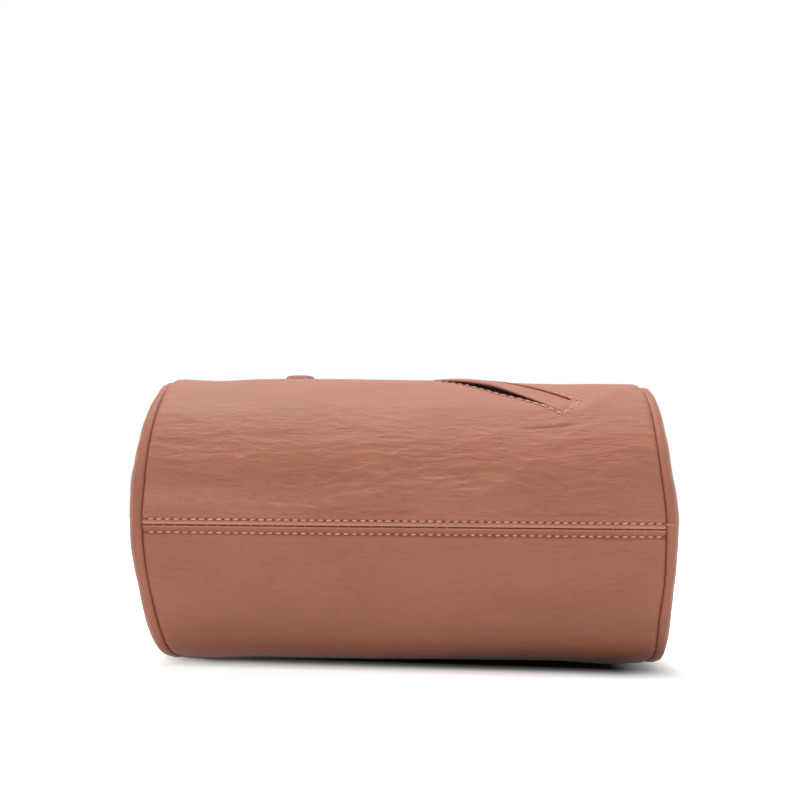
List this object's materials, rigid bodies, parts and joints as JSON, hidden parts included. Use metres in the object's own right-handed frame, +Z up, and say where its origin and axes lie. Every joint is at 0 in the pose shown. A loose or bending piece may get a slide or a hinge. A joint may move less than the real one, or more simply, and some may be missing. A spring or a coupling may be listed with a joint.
{
  "type": "crossbody bag",
  "caption": "Barrel-shaped crossbody bag in crinkled nylon, with domed ends, a slanted welt pocket, a zip and a folded strap on swivel snap hooks.",
  "frame": {"origin": "centre of the flat on the back panel that the bag lies on", "axes": "+X along the bag's length, -Y towards its bottom seam, +Y towards its zip, +Z up, out of the front panel"},
  "size_m": [0.27, 0.1724, 0.1436],
  "materials": {
    "shell_fabric": "matte crinkled nylon",
    "lining_fabric": "matte plain weave",
    "foam": "soft padding",
    "binding_tape": "matte tape",
    "webbing": "woven webbing",
    "zip_tape": "woven tape",
    "zip_metal": "satin",
    "spring_steel": "satin",
    "hardware": "satin"
  },
  "bodies": {
    "bag": {"front_panel": "shell_fabric", "back_panel": "shell_fabric", "left_end_panel": "shell_fabric", "right_end_panel": "shell_fabric", "front_foam": "foam", "back_foam": "foam", "left_end_foam": "foam", "right_end_foam": "foam", "body_lining": "lining_fabric", "left_end_lining": "lining_fabric", "right_end_lining": "lining_fabric", "left_seam_binding": "binding_tape", "right_seam_binding": "binding_tape", "pocket_welt": "shell_fabric", "pocket_pouch": "lining_fabric", "keeper_loop": "shell_fabric", "zip_tape_front": "zip_tape", "zip_tape_back": "zip_tape", "zip_teeth_front": "zip_metal", "zip_teeth_back": "zip_metal", "zip_top_stops": "zip_metal", "zip_bottom_stop": "zip_metal", "left_zip_end_cover": "shell_fabric", "right_zip_end_cover": "shell_fabric", "left_ring_tab": "shell_fabric", "right_ring_tab": "shell_fabric", "left_hook_eye": "hardware", "right_hook_eye": "hardware", "strap_webbing": "webbing", "strap_return": "webbing"},
    "zip_runner": {"zip_slider": "zip_metal"},
    "pull": {"zip_pull": "zip_metal", "zip_pull_tab": "shell_fabric"},
    "left_ring": {"left_d_ring": "hardware"},
    "right_ring": {"right_d_ring": "hardware"},
    "left_clip": {"left_hook": "hardware", "left_hook_pin": "hardware", "left_gate_spring": "spring_steel"},
    "right_clip": {"right_hook": "hardware", "right_hook_pin": "hardware", "right_gate_spring": "spring_steel"},
    "left_gate": {"left_hook_gate": "hardware"},
    "right_gate": {"right_hook_gate": "hardware"},
    "adjuster": {"strap_adjuster": "hardware", "strap_end": "webbing"}
  },
  "joints": [
    {"name": "zip_slide", "type": "slide", "parent": "bag", "child": "zip_runner", "axis": [1, 0, 0], "range_m": [-0.175, 0], "deforming": ["zip_teeth_front", "zip_teeth_back"]},
    {"name": "pull_hinge", "type": "hinge", "parent": "zip_runner", "child": "pull", "pos_m": [0.091, 0.0736, 0.06856], "axis": [0, 0, 1], "range_deg": [-120, 0]},
    {"name": "left_ring_hinge", "type": "hinge", "parent": "bag", "child": "left_ring", "pos_m": [-0.12, 0.079, 0.06856], "axis": [0, 0, 1], "range_deg": [-12, 12]},
    {"name": "right_ring_hinge", "type": "hinge", "parent": "bag", "child": "right_ring", "pos_m": [0.12, 0.079, 0.06856], "axis": [0, 0, 1], "range_deg": [-12, 12]},
    {"name": "left_clip_swivel", "type": "hinge", "parent": "bag", "child": "left_clip", "pos_m": [-0.12, 0.0851, 0.05296], "axis": [0, 0, 1], "range_deg": [-20, 20]},
    {"name": "right_clip_swivel", "type": "hinge", "parent": "bag", "child": "right_clip", "pos_m": [0.12, 0.0851, 0.05296], "axis": [0, 0, 1], "range_deg": [-20, 20]},
    {"name": "left_gate_hinge", "type": "hinge", "parent": "left_clip", "child": "left_gate", "pos_m": [-0.1273, 0.0851, 0.04436], "axis": [0, 1, 0], "range_deg": [0, 22], "stiffness_Nm_per_rad": 0.002, "deforming": ["left_gate_spring"]},
    {"name": "right_gate_hinge", "type": "hinge", "parent": "right_clip", "child": "right_gate", "pos_m": [0.1273, 0.0851, 0.04436], "axis": [0, 1, 0], "range_deg": [-22, 0], "stiffness_Nm_per_rad": 0.002, "deforming": ["right_gate_spring"]},
    {"name": "adjuster_slide", "type": "slide", "parent": "bag", "child": "adjuster", "axis": [1, 0, 0], "range_m": [0, 0.06], "deforming": ["strap_return"]}
  ]
}
